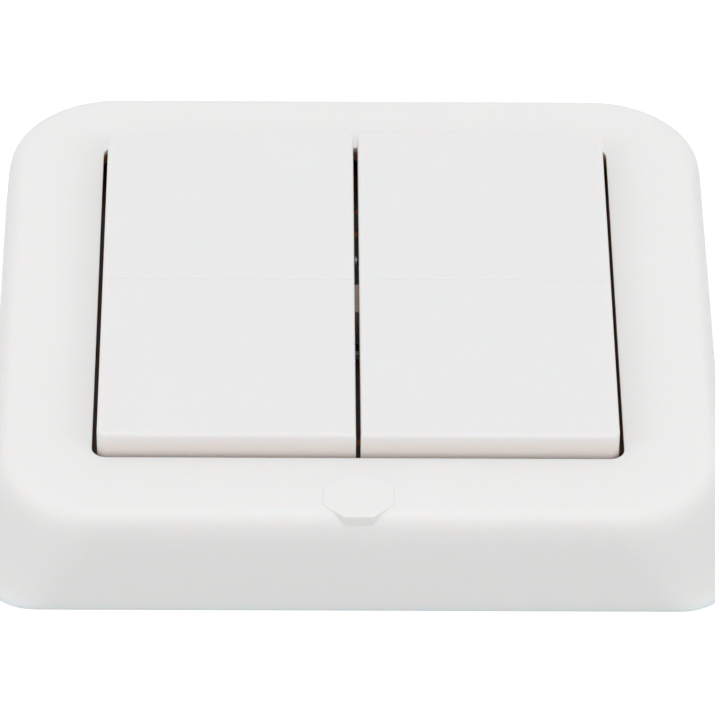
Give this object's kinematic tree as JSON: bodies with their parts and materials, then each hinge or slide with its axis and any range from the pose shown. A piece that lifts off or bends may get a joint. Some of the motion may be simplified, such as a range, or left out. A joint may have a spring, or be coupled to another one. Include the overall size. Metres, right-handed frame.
{
  "type": "wireless remote wall switch",
  "caption": "Flat square surface-mounted wireless wall switch: white frame with leaning walls, two wide rockers side by side.",
  "frame": {"origin": "middle of the back face, which lies on the wall", "axes": "+Z out of the wall towards the user, +Y up the wall, +X to the right"},
  "size_m": [0.08, 0.08, 0.0143],
  "materials": {
    "white_abs": "satin",
    "grey_abs": "matt",
    "cream_abs": "matt",
    "brown_board": "satin",
    "zinc_steel": "plated",
    "black_nylon": "matt",
    "tin_steel": "plated",
    "spring_steel": "bright",
    "black_pom": "matt",
    "cell_steel": "bright",
    "black_epoxy": "matt",
    "nickel_can": "plated",
    "copper_wire": "bright",
    "yellow_resin": "matt",
    "clear_lens": "gloss",
    "black_ceramic": "matt",
    "tan_ceramic": "matt",
    "white_foam": "matt"
  },
  "bodies": {
    "housing": {"adhesive_pads": "white_foam", "antenna_coil": "copper_wire", "base_tray": "cream_abs", "board_screws": "zinc_steel", "chip_capacitors": "tan_ceramic", "chip_resistors": "black_ceramic", "circuit_board": "brown_board", "coin_cell": "cell_steel", "contact_dome_left_lower": "spring_steel", "contact_dome_left_upper": "spring_steel", "contact_dome_right_lower": "spring_steel", "contact_dome_right_upper": "spring_steel", "controller_chip": "black_epoxy", "crystal_can": "nickel_can", "front_frame": "white_abs", "indicator_led": "clear_lens", "negative_contact": "spring_steel", "positive_contact": "spring_steel", "rf_resonator": "nickel_can", "rf_transistor": "black_epoxy", "storage_capacitor": "yellow_resin", "switch_cover_left_lower": "tin_steel", "switch_cover_left_upper": "tin_steel", "switch_cover_right_lower": "tin_steel", "switch_cover_right_upper": "tin_steel", "switch_housing_left_lower": "black_nylon", "switch_housing_left_upper": "black_nylon", "switch_housing_right_lower": "black_nylon", "switch_housing_right_upper": "black_nylon", "switch_leads": "tin_steel", "wall_plate": "grey_abs"},
    "left_rocker": {"left_rocker": "white_abs"},
    "right_rocker": {"right_rocker": "white_abs"},
    "plunger_left_lower": {"plunger_left_lower": "black_pom"},
    "plunger_left_upper": {"plunger_left_upper": "black_pom"},
    "plunger_right_lower": {"plunger_right_lower": "black_pom"},
    "plunger_right_upper": {"plunger_right_upper": "black_pom"}
  },
  "joints": [
    {"name": "left_tip", "type": "hinge", "parent": "housing", "child": "left_rocker", "pos_m": [0, 0, 0.0102], "axis": [1, 0, 0], "range_deg": [-2, 2], "stiffness_Nm_per_rad": 0.8},
    {"name": "right_tip", "type": "hinge", "parent": "housing", "child": "right_rocker", "pos_m": [0, 0, 0.0102], "axis": [1, 0, 0], "range_deg": [-2, 2], "stiffness_Nm_per_rad": 0.8},
    {"name": "left_lower_press", "type": "slide", "parent": "housing", "child": "plunger_left_lower", "axis": [0, 0, 1], "range_m": [-0.00032, 0.00032]},
    {"name": "left_upper_press", "type": "slide", "parent": "housing", "child": "plunger_left_upper", "axis": [0, 0, 1], "range_m": [-0.00032, 0.00032]},
    {"name": "right_lower_press", "type": "slide", "parent": "housing", "child": "plunger_right_lower", "axis": [0, 0, 1], "range_m": [-0.00032, 0.00032]},
    {"name": "right_upper_press", "type": "slide", "parent": "housing", "child": "plunger_right_upper", "axis": [0, 0, 1], "range_m": [-0.00032, 0.00032]}
  ],
  "couplings": [
    {"joint": "left_lower_press", "follows": "left_tip", "m_per_rad": -0.009},
    {"joint": "left_upper_press", "follows": "left_tip", "m_per_rad": 0.009},
    {"joint": "right_lower_press", "follows": "right_tip", "m_per_rad": -0.009},
    {"joint": "right_upper_press", "follows": "right_tip", "m_per_rad": 0.009}
  ]
}
